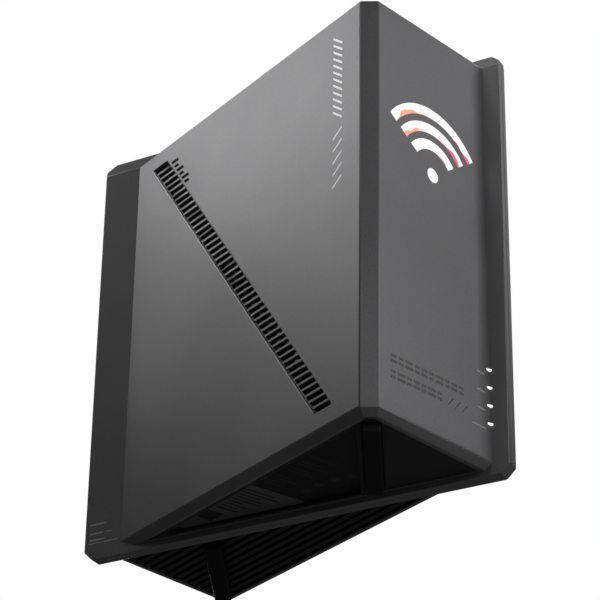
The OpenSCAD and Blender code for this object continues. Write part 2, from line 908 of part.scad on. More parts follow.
module antenna_leads() {
    front_y = -board_t / 2 - socket_w / 2 - lead_r - seat_gap;
    color("#151516") {
        lead([[-75.5, 0.68, side_socket_z], [-68, 0.68, side_socket_z], [-66, -1.5, side_socket_z],
              [-56.2, front_y, side_socket_z]]);
        lead([[75.5, -0.68, side_socket_z], [68, -0.68, side_socket_z], [64.5, -1.9, side_socket_z],
              [56.2, front_y, side_socket_z]]);
        lead([[8.5, -34, 145], [30, -12, 145], [50, -5, 144], [53.2, front_y, top_socket_z]]);
        lead([[-8.5, 34, 145], [-30, 12, 145], [-48.5, 5, 144], [-50.2, -front_y, top_socket_z]]);
    }
}

// Leads from the two light boards to the main board
module light_leads() {
    color("#e4e4e6") {
        lead([[67.2, -13, 120], [60.5, -4, 120], [58, -1.45, 120]]);
        lead([[72.6, -3.6, 30], [66, -3.2, 30], [59, -3.6, 40], [57, -1.45, 52]]);
    }
}

front_shell();
rear_shell();
front_vent_trim();
rear_vent_trim();
side_badge();
front_top_grille();
rear_top_grille();
front_base_cover();
rear_base_cover();
front_foot();
rear_foot();
rating_label();
base_screws();
emblem_lens();
emblem_diffuser();
emblem_led_board();
status_light_pipes();
status_led_board();
main_board();
board_frame();
board_screws();
processor();
memory_chips();
radio_chips();
shield_cans();
thermal_pads();
front_heat_sink();
rear_heat_sink();
heat_sink_screws();
io_board();
io_board_screws();
board_link();
dc_jack();
dc_pin();
power_switch();
power_button();
wan_port();
lan_port_1();
lan_port_2();
lan_port_3();
port_contacts();
usb_port();
usb_tongue();
wps_switch();
wps_button();
reset_switch();
reset_button();
left_antenna();
right_antenna();
front_top_antenna();
rear_top_antenna();
antenna_sockets();
antenna_leads();
light_leads();
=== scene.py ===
import json
import bmesh
import bpy
import numpy as np
from mathutils import Matrix, Vector


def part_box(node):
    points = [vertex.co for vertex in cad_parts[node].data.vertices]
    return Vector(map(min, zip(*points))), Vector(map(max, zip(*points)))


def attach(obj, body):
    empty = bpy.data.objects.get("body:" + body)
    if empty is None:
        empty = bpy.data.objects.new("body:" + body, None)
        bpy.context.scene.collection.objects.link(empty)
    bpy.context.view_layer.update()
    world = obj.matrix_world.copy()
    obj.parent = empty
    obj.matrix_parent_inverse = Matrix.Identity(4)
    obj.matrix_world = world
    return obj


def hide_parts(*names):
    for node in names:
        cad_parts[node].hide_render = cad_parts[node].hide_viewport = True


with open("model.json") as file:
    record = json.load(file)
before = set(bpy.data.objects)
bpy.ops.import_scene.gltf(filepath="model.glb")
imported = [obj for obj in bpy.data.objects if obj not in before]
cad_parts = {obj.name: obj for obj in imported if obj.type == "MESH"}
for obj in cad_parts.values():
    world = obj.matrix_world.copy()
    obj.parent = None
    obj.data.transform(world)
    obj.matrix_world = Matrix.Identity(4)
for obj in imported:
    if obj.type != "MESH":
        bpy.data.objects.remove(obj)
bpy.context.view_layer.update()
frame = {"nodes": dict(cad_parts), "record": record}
nodes = frame["nodes"]

# Studio: white surroundings, a sheet of matt paper as the floor, and plain soft lights. The tower is looked
# at from below too, so the paper shows only from above, and it fades into the white around it.
MM = 0.001


def linear(hex_colour):
    """An sRGB hex colour as linear red, green, blue and alpha."""
    c = np.array([int(hex_colour[i:i + 2], 16) for i in (1, 3, 5)]) / 255
    c = np.where(c <= 0.04045, c / 12.92, ((c + 0.055) / 1.055) ** 2.4)
    return (*c.tolist(), 1.0)


def add(tree, kind, links=None, values=None, **settings):
    """Adds a shader node: settings are its properties, values and links fill its inputs by name or number."""
    node = tree.nodes.new("ShaderNode" + kind)
    for key, value in settings.items():
        setattr(node, key, value)
    for key, value in (values or {}).items():
        node.inputs[key].default_value = value
    for key, source in (links or {}).items():
        tree.links.new(source, node.inputs[key])
    return node


def mesh_piece(name, points, faces, made):
    """An object at the origin, from points in metres and faces that look outward."""
    mesh = bpy.data.meshes.new(name)
    mesh.from_pydata(np.asarray(points).tolist(), [], np.asarray(faces).tolist())
    mesh.materials.append(made)
    piece = bpy.data.objects.new(name, mesh)
    bpy.context.scene.collection.objects.link(piece)
    return piece


bpy.context.scene.view_settings.view_transform = "Standard"
plain_white = (1, 1, 1, 1)
surround_glow = 0.07
world = bpy.data.worlds.new("white studio")
bpy.context.scene.world = world
world.use_nodes = True
sky = world.node_tree
sky.nodes.clear()
seen = add(sky, "Background", values={"Color": plain_white, "Strength": 1.0})
glow = add(sky, "Background", values={"Color": plain_white, "Strength": surround_glow})
by_eye = add(sky, "LightPath").outputs["Is Camera Ray"]
surround = add(sky, "MixShader", {0: by_eye, 1: glow.outputs[0], 2: seen.outputs[0]})
add(sky, "OutputWorld", {0: surround.outputs[0]})

# The paper's fibres are 2.5 mm clumps of slightly different tone. Its reach and its fade are in metres.
fibre_size, paper_lift = 2.5, 0.3
fade_start, fade_end, reach = 0.12, 0.62, 3.0
paper = bpy.data.materials.new("matt paper sweep")
paper.use_nodes = True
sheet = paper.node_tree
sheet.nodes.clear()
on_sheet = add(sheet, "TexCoord").outputs["Object"]
fibre = add(sheet, "TexNoise", {"Vector": on_sheet}, {"Scale": 1 / (fibre_size * MM), "Detail": 4.0})
tone = add(sheet, "MapRange", {0: fibre.outputs[0]}, {3: 0.86, 4: 0.9})
matt = add(sheet, "BsdfDiffuse", {0: tone.outputs[0]})
lift = add(sheet, "Emission", values={"Color": plain_white, "Strength": paper_lift})
lifted = add(sheet, "AddShader", {0: matt.outputs[0], 1: lift.outputs[0]})
underneath = add(sheet, "NewGeometry").outputs["Backfacing"]
above = add(sheet, "Math", {0: underneath}, {1: 0.5}, operation="LESS_THAN")
by_eye = add(sheet, "LightPath").outputs["Is Camera Ray"]
seen_above = add(sheet, "Math", {0: above.outputs[0], 1: by_eye}, operation="MULTIPLY")
away = add(sheet, "VectorMath", {0: on_sheet}, operation="LENGTH").outputs["Value"]
fade = add(sheet, "MapRange", {0: away}, {1: fade_start, 2: fade_end, 3: 1.0, 4: 0.0},
           interpolation_type="SMOOTHERSTEP")
shown = add(sheet, "Math", {0: seen_above.outputs[0], 1: fade.outputs[0]}, operation="MULTIPLY")
through = add(sheet, "BsdfTransparent")
ground = add(sheet, "MixShader", {0: shown.outputs[0], 1: through.outputs[0], 2: lifted.outputs[0]})
add(sheet, "OutputMaterial", {0: ground.outputs[0]})
corners = [(-reach, -reach, 0), (reach, -reach, 0), (reach, reach, 0), (-reach, reach, 0)]
floor = mesh_piece("floor", corners, [(0, 1, 2, 3)], paper)


def soft_light(name, place, target, size, spread, power):
    """A square soft light at place that looks at target, both in metres, behind a grid that narrows its beam
    to spread degrees. The camera doesn't see it."""
    data = bpy.data.lights.new(name, "AREA")
    data.shape = "SQUARE"
    data.size = size
    data.spread = np.radians(spread)
    data.energy = power
    lamp = bpy.data.objects.new(name, data)
    lamp.location = place
    lamp.rotation_euler = (Vector(target) - Vector(place)).to_track_quat("-Z", "Y").to_euler()
    lamp.visible_camera = False
    bpy.context.scene.collection.objects.link(lamp)


middle = (0, 0, 0.09)
soft_light("key_wide", (-0.50, -0.07, 0.42), (0.03, -0.05, 0.15), 0.25, 180, 0.27)
soft_light("key_high", (-0.45, -0.20, 0.58), (0.06, -0.06, 0.17), 0.15, 30, 0.019)
soft_light("key_near", (-0.36, -0.09, 0.38), (0.05, -0.05, 0.14), 0.1, 60, 0.019)
soft_light("front_high", (-0.1, -0.85, 0.75), (0.09, 0, 0.1), 0.5, 180, 1.22)
soft_light("front_right", (0.7, -0.9, 0.3), middle, 0.6, 180, 1.38)
soft_light("right_high", (0.62, 0.18, 0.45), (0.07, -0.03, 0.1), 0.4, 180, 0.82)
soft_light("right_side", (0.9, 0.03, 0.25), middle, 0.4, 180, 0.7)
soft_light("right_level", (1.0, -0.35, 0.15), middle, 0.5, 180, 1.7)
soft_light("low_right", (0.85, -0.12, -0.6), (0.07, -0.03, 0.05), 0.4, 180, 1.3)
soft_light("back_high", (0.1, 0.85, 0.75), middle, 0.5, 180, 6.0)
soft_light("back_left", (-0.75, 0.85, 0.4), middle, 0.6, 180, 6.0)
soft_light("overhead", (0.05, 0.1, 1.1), (0, 0, 0.18), 0.4, 60, 1.0)

# Camera: low in front and to the right, looking up at the tower through a long lens.
camera_place = (0.40183, -0.71634, -0.3617)
camera = bpy.data.objects.new("camera", bpy.data.cameras.new("camera"))
bpy.context.scene.collection.objects.link(camera)
bpy.context.scene.camera = camera
camera.data.lens = 149.79
camera.data.sensor_width = 36
camera.data.clip_start = 0.05
camera.data.clip_end = 20
turn, rise, roll = np.radians([29.169, 28.894, 0.896])
ahead = np.array([-np.sin(turn) * np.cos(rise), np.cos(turn) * np.cos(rise), np.sin(rise)])
level = np.array([np.cos(turn), np.sin(turn), 0])
upright = np.cross(level, ahead)
across = level * np.cos(roll) + upright * np.sin(roll)
axes = np.column_stack([across, np.cross(across, ahead), -ahead])
camera.matrix_world = Matrix.Translation(camera_place) @ Matrix(axes.tolist()).to_4x4()

# Casing: two moulded halves of ABS that meet in the middle of the fin, sprayed with a fine-grained metallic
# grey. The fin's narrow ends are coloured near black as painted shade, and every long edge is a little
# rounded.


def material(name, **sockets):
    """A new material with one Principled shader: sockets are its constant values, with _ for a space. Gives
    the material, its tree, its shader and its Object coordinates."""
    made = bpy.data.materials.new(name)
    made.use_nodes = True
    skin = made.node_tree.nodes["Principled BSDF"]
    for key, value in sockets.items():
        skin.inputs[key.replace("_", " ")].default_value = value
    return made, made.node_tree, skin, add(made.node_tree, "TexCoord").outputs["Object"]


def grain(tree, skin, where, size, depth, dark, light, rough=None, mottle=40.0):
    """Fine grain of one size, in mm: it mottles the colour from dark to light and lifts the surface by depth,
    in mm. A slow noise, mottle mm across, shifts the colour as well, and rough gives the spread of the gloss.
    Gives the node that holds the colour."""
    fine = add(tree, "TexNoise", {"Vector": where}, {"Scale": 1 / (size * MM), "Detail": 2.0})
    slow = add(tree, "TexNoise", {"Vector": where}, {"Scale": 1 / (mottle * MM), "Detail": 2.0})
    both = add(tree, "Math", {0: fine.outputs[0], 1: slow.outputs[0]}, operation="ADD")
    share = add(tree, "MapRange", {0: both.outputs[0]}, {1: 0.7, 2: 1.3})
    ends = {6: linear(dark), 7: linear(light)}
    colour = add(tree, "Mix", {0: share.outputs[0]}, ends, data_type="RGBA")
    bump = add(tree, "Bump", {"Height": fine.outputs[0]}, {"Strength": 0.5, "Distance": depth * MM})
    tree.links.new(colour.outputs[2], skin.inputs["Base Color"])
    tree.links.new(bump.outputs[0], skin.inputs["Normal"])
    if rough:
        gloss = add(tree, "MapRange", {0: fine.outputs[0]}, {3: rough[0], 4: rough[1]})
        tree.links.new(gloss.outputs[0], skin.inputs["Roughness"])
    return colour


def grained(name, size, depth, dark, light, rough=None, mottle=40.0, **sockets):
    """A whole material of one shader with grain over it, as material and grain say."""
    made, tree, skin, where = material(name, **sockets)
    grain(tree, skin, where, size, depth, dark, light, rough, mottle)
    return made


def finish_with(made, *names):
    """Gives CAD nodes a material."""
    for name in names:
        slots = nodes[name].data.materials
        slots.clear()
        slots.append(made)


body_of = {n: b for b, members in frame["record"]["behaviour"]["bodies"].items() for n in members}


def soften(node, made, width, shortest, segments=2):
    """A copy of a CAD piece whose convex edges are rounded to width, where they are longer than shortest, in
    mm. Its flat faces stay flat, and only the rounded strips and the curved walls are shaded smooth."""
    weld = 0.004 * MM
    flat, curved, sharp = np.radians([0.5, 1, 20])
    piece = bpy.data.objects.new(node + "_finished", nodes[node].data.copy())
    bpy.context.scene.collection.objects.link(piece)
    piece.data.materials.clear()
    piece.data.materials.append(made)
    shape = bmesh.new()
    shape.from_mesh(piece.data)
    bmesh.ops.remove_doubles(shape, verts=shape.verts, dist=weld)
    bmesh.ops.dissolve_limit(shape, angle_limit=flat, verts=shape.verts, edges=shape.edges)
    bmesh.ops.triangulate(shape, faces=shape.faces, ngon_method="EAR_CLIP")
    turns = {edge: edge.calc_face_angle_signed(0) if edge.is_manifold else 0 for edge in shape.edges}
    for face in shape.faces:
        face.smooth = any(curved < abs(turns[edge]) < sharp for edge in face.edges)
    for edge in shape.edges:
        edge.smooth = abs(turns[edge]) < sharp
    chosen = [edge for edge, bend in turns.items() if bend > sharp and edge.calc_length() > shortest * MM]
    strips = bmesh.ops.bevel(shape, geom=chosen, offset=width * MM, segments=segments, profile=0.5,
                             affect="EDGES", clamp_overlap=False)["faces"]
    for face in strips:
        face.smooth = True
    shape.to_mesh(piece.data)
    shape.free()
    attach(piece, body_of[node])
    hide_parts(node)
    return piece


def split_finish(piece, made, chosen):
    """Adds a second material to a piece, on the polygons that chosen picks from their middles, in mm."""
    middles = np.empty(len(piece.data.polygons) * 3)
    piece.data.polygons.foreach_get("center", middles)
    piece.data.materials.append(made)
    picked = chosen(middles.reshape(-1, 3) / MM)
    piece.data.polygons.foreach_set("material_index", picked.astype(np.int32))


# The paint's flakes give a soft metallic sheen with a wide, weak gloss. Real flakes are finer than the half
# millimetre of this grit, which is as coarse as it needs to be to show.
paint = grained("sprayed metallic grey on ABS", 0.55, 0.02, "#5a595b", "#6a696b", (0.36, 0.46), 60.0,
                Metallic=0.5, Roughness=0.4)
# The near black on the fin's narrow ends is painted shade: it keeps them dark under the lights from the
# right.
painted_shade_black = grained("near-black ABS, painted shade on fin ends", 0.4, 0.02, "#0c0c0d", "#131314", Roughness=0.5, Specular_IOR_Level=0.25)
fin_end, end_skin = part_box("front_shell")[1].x / MM, 0.05
for node in ("front_shell", "rear_shell"):
    shell = soften(node, paint, 0.35, 12.0)
    split_finish(shell, painted_shade_black, lambda middles: np.abs(middles[:, 0]) > fin_end - end_skin)

# Marks in the casing: bright silver strips along the vent rows, a painted highlight for the vents' lit walls,
# black bars beside the first one, and bright foil pressed into the engraved strokes over dark beds, a painted
# shadow round the foil. The vents' louvres are part of the casing.


def flat_face(node, look, below_x=1000.0):
    """The outermost flat face of a CAD node that looks along look, of those whose middles lie below_x, in mm.
    Gives a function from s, from the face's left end, depth inward and height, in mm, to points in metres."""
    same_way, same_level = 0.995, 0.05
    mesh = nodes[node].data
    spots, normals = np.empty(len(mesh.vertices) * 3), np.empty(len(mesh.polygons) * 3)
    turns = np.empty(len(mesh.loops), np.int32)
    mesh.vertices.foreach_get("co", spots)
    mesh.polygons.foreach_get("normal", normals)
    mesh.loops.foreach_get("vertex_index", turns)
    spots = spots.reshape(-1, 3)[turns].reshape(-1, 3, 3) / MM
    normals = normals.reshape(-1, 3)
    near = normals @ (np.array(look) / np.linalg.norm(look)) > same_way
    near &= spots.mean(axis=1)[:, 0] < below_x
    levels = np.where(near, np.einsum("ij,ij->i", spots[:, 0], normals), -1e9)
    outermost = levels.max()
    chosen = levels > outermost - same_level
    out = normals[chosen].mean(axis=0)
    out /= np.linalg.norm(out)
    along = np.cross((0, 0, 1), out)
    left = (spots[chosen] @ along).min()

    def place(s, deep, z):
        s, deep, z = np.broadcast_arrays(np.asarray(s, float), deep, z)
        spot = (left + s)[..., None] * along + (outermost - deep)[..., None] * out
        return (spot + z[..., None] * np.array([0, 0, 1])) * MM
    return place


def plaques(name, place, corners, out, deep, made, body="root"):
    """Thin four-cornered plates on a face: corners has four (s, z) pairs for each, and out and deep are the
    depths of their front and back, in mm."""
    corners = np.asarray(corners, float).reshape(-1, 4, 2)
    front = place(corners[..., 0], out, corners[..., 1])
    back = place(corners[..., 0], deep, corners[..., 1])
    ring = [[0, 1, 2, 3], [7, 6, 5, 4], [0, 4, 5, 1], [1, 5, 6, 2], [2, 6, 7, 3], [3, 7, 4, 0]]
    faces = (8 * np.arange(len(corners))[:, None, None] + np.array(ring)).reshape(-1, 4)
    piece = mesh_piece(name, np.concatenate([front, back], axis=1).reshape(-1, 3), faces, made)
    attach(piece, body)
    return piece


def bars(s, z, wide, rise, thick, gap=0.0):
    """Corners of leaning bars from their lower left corners: wide along s, rising by rise, thick up, and
    drawn in by gap all round, in mm."""
    s, z, wide, rise, thick = np.broadcast_arrays(np.asarray(s, float), z, wide, rise, thick)
    lean = rise / wide
    trim = gap * np.hypot(1, lean)
    left, right = s + gap, s + wide - gap
    low, high = z + lean * gap + trim, z + lean * (wide - gap) + trim
    tall = thick - 2 * trim
    return np.stack([np.stack([left, low], -1), np.stack([right, high], -1),
                     np.stack([right, high + tall], -1), np.stack([left, low + tall], -1)], axis=1)


long_look, short_look, fin_look = np.array([-0.414, -0.910, 0]), (0.969, -0.247, 0), (0, -1, 0)
rear_look = -long_look
long_face = flat_face("front_shell", long_look)
short_face = flat_face("front_shell", short_look)
rear_face = flat_face("rear_shell", rear_look)
wing_start = -70.0
fin_face = flat_face("front_shell", fin_look, wing_start)

# The silver strips along the vents are a painted highlight for the vents' lit walls, spread in a satin sheen.
# The black paint takes in nearly all light, so it reads as a hole; under the foil the same black is a painted
# shadow round each engraved stroke, and the pressed foil stays bright from every side.
# The vent trims' bright silver is a painted highlight where the vents' walls catch the light.
silver = grained("bright silver trim, painted highlight", 0.3, 0.004, "#7f8184", "#8d8f92", (0.38, 0.48),
                 Metallic=1.0, Roughness=0.35)
finish_with(silver, "front_vent_trim", "rear_vent_trim")
black_inserts_and_painted_shadow = grained("black inserts and painted shadow", 0.3, 0.004, "#020202", "#050505",
                      Roughness=0.7, Specular_IOR_Level=0.04)
finish_with(black_inserts_and_painted_shadow, "side_badge")
foil = grained("hot-stamped silver foil", 0.3, 0.01, "#b4b6b9", "#c4c6c9", Metallic=0.55, Roughness=0.42)
hatch_left, hatch_wide = 127.8, 5.4
hatch_z, hatch_rise, hatch_thick = 160.6 - 2.9 * np.arange(12), -4.4, 1.4
loose_z, loose_rise, loose_thick = 117 - 5 * np.arange(5), 3.4, 1.1
# The dark beds stick out a little round the foil: a painted shadow along the engraved strokes' walls.
for name, gap, out, deep, made in (("engraved_stroke_painted_shadows", 0.01, 0.2, 0.34, black_inserts_and_painted_shadow),
                                   ("engraved_stroke_fillings", 0.12, 0.02, 0.22, foil)):
    hatch = bars(hatch_left, hatch_z, hatch_wide, hatch_rise, hatch_thick, gap)
    loose = bars(hatch_left, loose_z, hatch_wide, loose_rise, loose_thick, gap)
    plaques(name, long_face, np.concatenate([hatch, loose]), out, deep, made)

# Printing on the casing, as plain bars where the real router has words: dark rows low on the short face,
# small pale dashes beside each status light, and fine grey lines at the fin's lower left corner. The inks
# are pad-printed in flat, even coats that are a little duller than the paint.
dark_ink = grained("dark pad-printed ink", 0.3, 0.005, "#39383a", "#424143", Roughness=0.5)
pale_ink = grained("pale pad-printed ink", 0.3, 0.005, "#8c8a8a", "#a3a1a0", Roughness=0.6)
grey_ink = grained("grey pad-printed ink", 0.3, 0.005, "#8e8c8d", "#9c9a9b", Roughness=0.6)
ink_front, ink_back = -0.02, 0.05
row_left, row_gap, row_slope = 5.6, 0.9, 0.032
row_thick, row_split = 1.05, 2.05


def print_row(end, z, widths):
    """Corners of a row of double bars from row_left to end, their widths taken in turn. Each is two bars."""
    wide = np.resize(widths, 40)
    left = row_left + np.concatenate([[0], np.cumsum(wide + row_gap)[:-1]])
    kept = left + wide <= end
    left, wide = left[kept], wide[kept]
    low = z + row_slope * (left - row_left)
    return np.concatenate([bars(left, low + up, wide, row_slope * wide, row_thick) for up in (0, row_split)])


rows = [print_row(46.7, 24.8, (3.2, 2.4, 4.1, 2.4)), print_row(32, 18.8, (2.4, 4.1, 2.4, 3.2))]
plaques("short_face_print", short_face, np.concatenate(rows), ink_front, ink_back, dark_ink)

light_tall, dash_drop, dash_end, dash_thick = 0.6, 2.5, 55.2, 0.5
light_low, light_high = [corner.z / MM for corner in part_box("status_light_pipes")]
light_step = (light_high - light_low - light_tall) / 3
dash_z = light_low + light_step * np.arange(4) - dash_drop
dash_wide = np.array([7.2, 4.2, 4.2, 4.0])
dashes = bars(dash_end - dash_wide, dash_z, dash_wide, 0.0, dash_thick)
plaques("status_light_dashes", short_face, dashes, ink_front, ink_back, pale_ink)

fine_left, fine_thick, rule_thick = 2.2, 0.5, 0.3
fine_z, fine_wide = [14.8, 11.1, 8.5], [7.0, 5.6, 6.6]
fine_rows = bars(fine_left, fine_z, fine_wide, 0, fine_thick)
fine_dash = bars(9.2, [11.2], 2.7, 0, rule_thick)
fine_rule = bars(1.8, [7.3], 12.9, 0, rule_thick)
fine_print = np.concatenate([fine_rows, fine_dash, fine_rule])
plaques("fin_print", fin_face, fine_print, ink_front, ink_back, grey_ink)

# Lit emblem and status lights: frosted acrylic light guides let into the casing, lit from small boards
# behind them, the emblem through a diffuser. The bows' inner edges catch coloured light.
short_way = short_face(1, 0, 0) - short_face(0, 0, 0)
short_way = short_way / np.linalg.norm(short_way)
spots = np.empty(len(nodes["emblem_lens"].data.vertices) * 3)
nodes["emblem_lens"].data.vertices.foreach_get("co", spots)
spots = spots.reshape(-1, 3) / MM
span = spots @ short_way
dot_radius, first_bow, bow_step = 2.9, 10.2, 6.8
emblem_middle = ((span.min() + span.max()) / 2, spots[:, 2].min() + dot_radius)


def lit_acrylic(name, strength, tint=None):
    """Frosted acrylic lit from behind. tint is the emblem's middle, as its place along the short face and its
    height in mm. Just outside each bow's inner edge, over a width that changes from place to place, the light
    turns red on the right and orange on the left. All sizes are in mm."""
    frost_size, patch_size = 4, 7
    least_wide, most_wide = 0.2, 1.9
    clear_half, tinted_from, hue_half = 2.0, 9.0, 6.0
    made, tree, skin, where = material(name, Roughness=0.3, Base_Color=(0, 0, 0, 1),
                                       Emission_Strength=strength)
    frost = add(tree, "TexNoise", {"Vector": where}, {"Scale": 1 / (frost_size * MM), "Detail": 1.0})
    shades = {6: (1, 1, 1, 1), 7: (0.97, 0.98, 1, 1)}
    white = add(tree, "Mix", {0: frost.outputs[0]}, shades, data_type="RGBA")
    colour = white
    if tint:
        run = add(tree, "VectorMath", {0: where}, {1: tuple(short_way / MM)}, operation="DOT_PRODUCT")
        beside = add(tree, "Math", {0: run.outputs["Value"]}, {1: tint[0]}, operation="SUBTRACT")
        up = add(tree, "SeparateXYZ", {0: where}).outputs["Z"]
        above = add(tree, "Math", {0: up}, {1: 1 / MM, 2: -tint[1]}, operation="MULTIPLY_ADD")
        flat = add(tree, "CombineXYZ", {0: beside.outputs[0], 1: above.outputs[0]})
        radius = add(tree, "VectorMath", {0: flat.outputs[0]}, operation="LENGTH").outputs["Value"]
        from_first = add(tree, "Math", {0: radius}, {1: first_bow}, operation="SUBTRACT")
        step = add(tree, "Math", {0: from_first.outputs[0]}, {1: bow_step}, operation="FLOORED_MODULO")
        patch = add(tree, "TexNoise", {"Vector": where}, {"Scale": 1 / (patch_size * MM), "Detail": 0.5})
        widths = {1: 0.4, 2: 0.65, 3: least_wide, 4: most_wide}
        tint_wide = add(tree, "MapRange", {0: patch.outputs[0]}, widths)
        edge = add(tree, "Math", {0: step.outputs[0], 1: tint_wide.outputs[0]}, operation="LESS_THAN")
        aside = add(tree, "Math", {0: beside.outputs[0]}, operation="ABSOLUTE")
        share = add(tree, "MapRange", {0: aside.outputs[0]}, {1: clear_half, 2: tinted_from})
        amount = add(tree, "Math", {0: edge.outputs[0], 1: share.outputs[0]}, operation="MULTIPLY")
        side = add(tree, "MapRange", {0: beside.outputs[0]}, {1: -hue_half, 2: hue_half})
        hues = {6: linear("#f6a07c"), 7: linear("#f0487c")}
        hue = add(tree, "Mix", {0: side.outputs[0]}, hues, data_type="RGBA")
        parts = {0: amount.outputs[0], 6: white.outputs[2], 7: hue.outputs[2]}
        colour = add(tree, "Mix", parts, data_type="RGBA")
    tree.links.new(colour.outputs[2], skin.inputs["Emission Color"])
    return made


# The lit guides glow evenly to their rims. The opal sheet behind them is milky and barely shines.
lens = soften("emblem_lens", lit_acrylic("lit frosted acrylic, tinted", 1.0, emblem_middle), 0.12, 0.2)
finish_with(lit_acrylic("lit frosted acrylic", 1.15), "status_light_pipes")
opal = grained("opal polycarbonate", 0.2, 0.004, "#e6e6e4", "#efefee",
               Roughness=0.45, Transmission_Weight=0.3)
finish_with(opal, "emblem_diffuser")


def circuit(name, first, second, mask="#10281e", track="#1d4431", tin="#c5c6c3"):
    """A circuit board: solder mask over copper tracks that run along one of two directions from cell to cell,
    with tinned pads. first and second are those directions. The tracks are 0.6 mm wide and 1.8 mm apart, and
    the pads 0.65 mm across, which is coarser than real ones so that they show."""
    cells_per_mm, pads_per_mm, pad_radius = 0.14, 0.4, 0.13
    half_pitch, half_track, bare_share = 0.9, 0.3, 0.35
    made, tree, skin, where = material(name, Roughness=0.32, Coat_Weight=0.3, Coat_Roughness=0.25)
    runs = [add(tree, "VectorMath", {0: where}, {1: tuple(np.array(way) / MM)}, operation="DOT_PRODUCT")
            for way in (first, second)]
    flat = add(tree, "CombineXYZ", {0: runs[0].outputs["Value"], 1: runs[1].outputs["Value"]})
    cells = add(tree, "TexVoronoi", {"Vector": flat.outputs[0]}, {"Scale": cells_per_mm},
                distance="CHEBYCHEV")
    random = add(tree, "SeparateColor", {0: cells.outputs["Color"]})
    lines = []
    for run in runs:
        wave = add(tree, "Math", {0: run.outputs["Value"]}, {1: half_pitch}, operation="PINGPONG")
        lines.append(add(tree, "Math", {0: wave.outputs[0]}, {1: half_track}, operation="LESS_THAN"))
    turned = add(tree, "Math", {0: random.outputs[0]}, {1: 0.5}, operation="GREATER_THAN")
    line = add(tree, "Mix", {0: turned.outputs[0], 2: lines[0].outputs[0], 3: lines[1].outputs[0]})
    laid = add(tree, "Math", {0: random.outputs[1]}, {1: bare_share}, operation="GREATER_THAN")
    copper = add(tree, "Math", {0: line.outputs[0], 1: laid.outputs[0]}, operation="MULTIPLY")
    dots = add(tree, "TexVoronoi", {"Vector": flat.outputs[0]}, {"Scale": pads_per_mm})
    pads = add(tree, "Math", {0: dots.outputs["Distance"]}, {1: pad_radius}, operation="LESS_THAN")
    greens = {6: linear(mask), 7: linear(track)}
    green = add(tree, "Mix", {0: copper.outputs[0]}, greens, data_type="RGBA")
    parts = {0: pads.outputs[0], 6: green.outputs[2]}
    colour = add(tree, "Mix", parts, {7: linear(tin)}, data_type="RGBA")
    raised = add(tree, "Math", {0: copper.outputs[0], 1: pads.outputs[0]}, operation="MAXIMUM")
    bump = add(tree, "Bump", {"Height": raised.outputs[0]}, {"Strength": 0.6, "Distance": 0.03 * MM})
    tree.links.new(colour.outputs[2], skin.inputs["Base Color"])
    tree.links.new(pads.outputs[0], skin.inputs["Metallic"])
    tree.links.new(bump.outputs[0], skin.inputs["Normal"])
    return made


status_turn = np.radians(54.8)
status_way = np.array([np.cos(status_turn), np.sin(status_turn), 0])
finish_with(circuit("emblem light circuit board", short_way, (0, 0, 1)), "emblem_led_board")
finish_with(circuit("status light circuit board", status_way, (0, 0, 1)), "status_led_board")

# Base: black ABS covers under each wing, screwed up into the casing. The rear one is ribbed; the front one
# has a sunk, smoother panel with the rating label. Two rubber feet cross the wings. The covers' texture
# kills their shine, above sunk_level the panel is darker still, and the rubber is almost black.
sunk_level = 4.2
base, tree, skin, where = material("black textured ABS", Roughness=0.6, Specular_IOR_Level=0.3)
colour = grain(tree, skin, where, 0.5, 0.03, "#1a1a1b", "#222223", (0.5, 0.65))
up = add(tree, "SeparateXYZ", {0: where}).outputs["Z"]
sunk = add(tree, "Math", {0: up}, {1: sunk_level * MM}, operation="GREATER_THAN")
parts = {0: sunk.outputs[0], 6: colour.outputs[2]}
two = add(tree, "Mix", parts, {7: linear("#070707")}, data_type="RGBA")
tree.links.new(two.outputs[2], skin.inputs["Base Color"])
soften("front_base_cover", base, 0.2, 6.0)
ribbed = grained("black moulded ABS", 0.5, 0.02, "#0b0b0c", "#111112",
                 Roughness=0.55, Specular_IOR_Level=0.25)
soften("rear_base_cover", ribbed, 0.15, 6.0)
rubber = grained("black moulded rubber", 0.25, 0.02, "#050505", "#080808",
                 Roughness=0.7, Specular_IOR_Level=0.2)
for node in ("front_foot", "rear_foot"):
    soften(node, rubber, 0.4, 3.0)


def brushed(name, along, dark, light, rough):
    """Metal with fine lines that run along one direction, which stretches the noise that draws them. Along no
    direction it is a fine even grain. The lines draw the highlight out, as plating and extrusion do."""
    line_size, cloud_size, stretch = 0.3, 12, 0.985
    made, tree, skin, where = material(name, Metallic=1.0)
    squeeze = 1 - stretch * np.abs(np.array(along, float))
    drawn = add(tree, "VectorMath", {0: where}, {1: tuple(squeeze.tolist())}, operation="MULTIPLY")
    lines = add(tree, "TexNoise", {"Vector": drawn.outputs[0]},
                {"Scale": 1 / (line_size * MM), "Detail": 3.0})
    cloud = add(tree, "TexNoise", {"Vector": where}, {"Scale": 1 / (cloud_size * MM), "Detail": 2.0})
    both = add(tree, "Math", {0: lines.outputs[0], 1: cloud.outputs[0]}, operation="ADD")
    share = add(tree, "MapRange", {0: both.outputs[0]}, {1: 0.7, 2: 1.3})
    ends = {6: linear(dark), 7: linear(light)}
    colour = add(tree, "Mix", {0: share.outputs[0]}, ends, data_type="RGBA")
    gloss = add(tree, "MapRange", {0: share.outputs[0]}, {3: rough[0], 4: rough[1]})
    bump = add(tree, "Bump", {"Height": lines.outputs[0]}, {"Strength": 0.3, "Distance": 0.005 * MM})
    tree.links.new(colour.outputs[2], skin.inputs["Base Color"])
    tree.links.new(gloss.outputs[0], skin.inputs["Roughness"])
    tree.links.new(bump.outputs[0], skin.inputs["Normal"])
    return made


zinc = brushed("zinc-plated steel", (0, 0, 0), "#8f9294", "#abadae", (0.28, 0.42))
finish_with(zinc, "base_screws", "board_screws", "heat_sink_screws", "io_board_screws")

